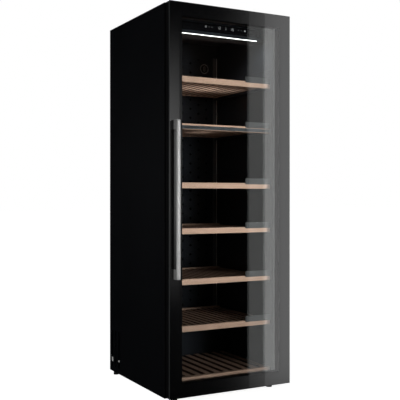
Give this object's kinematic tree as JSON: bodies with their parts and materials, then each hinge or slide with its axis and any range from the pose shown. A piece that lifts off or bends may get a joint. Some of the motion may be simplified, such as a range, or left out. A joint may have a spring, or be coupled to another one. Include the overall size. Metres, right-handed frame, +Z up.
{
  "type": "wine cooler",
  "caption": "Tall black wine cooler with a hinged glass door, bar handle, sliding wooden slat shelves, lit interior, rear fan and levelling feet.",
  "frame": {"origin": "middle of the whole object's footprint, on the floor", "axes": "X to the right seen from the front, Y to the rear, Z up"},
  "size_m": [0.595, 0.68, 1.65],
  "materials": {
    "black_paint": "satin black, very fine texture",
    "liner_plastic": "moulded black, fine grain",
    "foam": "rigid closed-cell foam",
    "black_plastic": "matt black",
    "cooling_metal": "black coated",
    "black_gloss": "polished black",
    "light_strip": "milky diffuser",
    "wood": "planed beech, clear satin",
    "compressor_paint": "semi-gloss black",
    "rubber": "matt",
    "tube_metal": "black coated tube",
    "fixing_steel": "zinc plated",
    "clear_glass": "clear, polished",
    "frame_black": "satin black",
    "handle_steel": "brushed along its length",
    "tag_plastic": "dark grey, satin",
    "trim_steel": "brushed blue-grey"
  },
  "bodies": {
    "cabinet": {"left_side_panel": "black_paint", "right_side_panel": "black_paint", "top_panel": "black_paint", "back_panel": "black_paint", "base_pan": "black_paint", "front_frame": "black_paint", "bay_bulkhead": "black_paint", "machine_cover": "black_paint", "inner_liner": "liner_plastic", "duct_panel": "liner_plastic", "shelf_runners": "liner_plastic", "control_fascia": "liner_plastic", "foam_insulation": "foam", "charcoal_filter": "black_plastic", "fan_housing": "black_plastic", "power_inlet": "black_plastic", "evaporator": "cooling_metal", "touch_panel": "black_gloss", "led_diffuser": "light_strip", "rack_front_bar": "wood", "rack_slats": "wood", "compressor": "compressor_paint", "compressor_mounts": "rubber", "rear_feet": "rubber", "condenser_coil": "tube_metal", "upper_hinge_bracket": "fixing_steel", "lower_hinge_bracket": "fixing_steel", "hinge_pins": "fixing_steel", "hinge_screws": "fixing_steel"},
    "door": {"outer_glass": "clear_glass", "inner_glass": "clear_glass", "glazing_spacer": "cooling_metal", "door_frame": "frame_black", "door_gasket": "rubber", "handle_bar": "handle_steel", "handle_posts": "handle_steel", "handle_screws": "fixing_steel", "hinge_bushes": "black_plastic"},
    "fan": {"fan_rotor": "black_plastic"},
    "left_foot": {"left_levelling_foot": "rubber"},
    "right_foot": {"right_levelling_foot": "rubber"},
    "shelf_1": {"shelf_1_front_bar": "wood", "shelf_1_slats": "wood", "shelf_1_label_holder": "tag_plastic"},
    "shelf_2": {"shelf_2_front_bar": "wood", "shelf_2_slats": "wood", "shelf_2_label_holder": "tag_plastic", "shelf_2_trim": "trim_steel"},
    "shelf_3": {"shelf_3_front_bar": "wood", "shelf_3_slats": "wood", "shelf_3_label_holder": "tag_plastic"},
    "shelf_4": {"shelf_4_front_bar": "wood", "shelf_4_slats": "wood", "shelf_4_label_holder": "tag_plastic"},
    "shelf_5": {"shelf_5_front_bar": "wood", "shelf_5_slats": "wood", "shelf_5_label_holder": "tag_plastic"},
    "shelf_6": {"shelf_6_front_bar": "wood", "shelf_6_slats": "wood", "shelf_6_label_holder": "tag_plastic"}
  },
  "joints": [
    {"name": "door_hinge", "type": "hinge", "parent": "cabinet", "child": "door", "pos_m": [0.2855, -0.286, 0.8375], "axis": [0, 0, 1], "range_deg": [0, 120]},
    {"name": "fan_spin", "type": "hinge", "parent": "cabinet", "child": "fan", "pos_m": [0, 0.2577, 1.378], "axis": [0, 1, 0], "continuous": true},
    {"name": "left_foot_level", "type": "slide", "parent": "cabinet", "child": "left_foot", "axis": [0, 0, -1], "range_m": [0, 0.012]},
    {"name": "right_foot_level", "type": "slide", "parent": "cabinet", "child": "right_foot", "axis": [0, 0, -1], "range_m": [0, 0.012]},
    {"name": "shelf_1_slide", "type": "slide", "parent": "cabinet", "child": "shelf_1", "axis": [0, -1, 0], "range_m": [0, 0.21]},
    {"name": "shelf_2_slide", "type": "slide", "parent": "cabinet", "child": "shelf_2", "axis": [0, -1, 0], "range_m": [0, 0.21]},
    {"name": "shelf_3_slide", "type": "slide", "parent": "cabinet", "child": "shelf_3", "axis": [0, -1, 0], "range_m": [0, 0.21]},
    {"name": "shelf_4_slide", "type": "slide", "parent": "cabinet", "child": "shelf_4", "axis": [0, -1, 0], "range_m": [0, 0.21]},
    {"name": "shelf_5_slide", "type": "slide", "parent": "cabinet", "child": "shelf_5", "axis": [0, -1, 0], "range_m": [0, 0.21]},
    {"name": "shelf_6_slide", "type": "slide", "parent": "cabinet", "child": "shelf_6", "axis": [0, -1, 0], "range_m": [0, 0.21]}
  ],
  "couplings": [
    {"joint": "shelf_1_slide", "follows": "door_hinge", "m_per_rad": 0.1},
    {"joint": "shelf_2_slide", "follows": "door_hinge", "m_per_rad": 0.1},
    {"joint": "shelf_3_slide", "follows": "door_hinge", "m_per_rad": 0.1},
    {"joint": "shelf_4_slide", "follows": "door_hinge", "m_per_rad": 0.1},
    {"joint": "shelf_5_slide", "follows": "door_hinge", "m_per_rad": 0.1},
    {"joint": "shelf_6_slide", "follows": "door_hinge", "m_per_rad": 0.1}
  ]
}
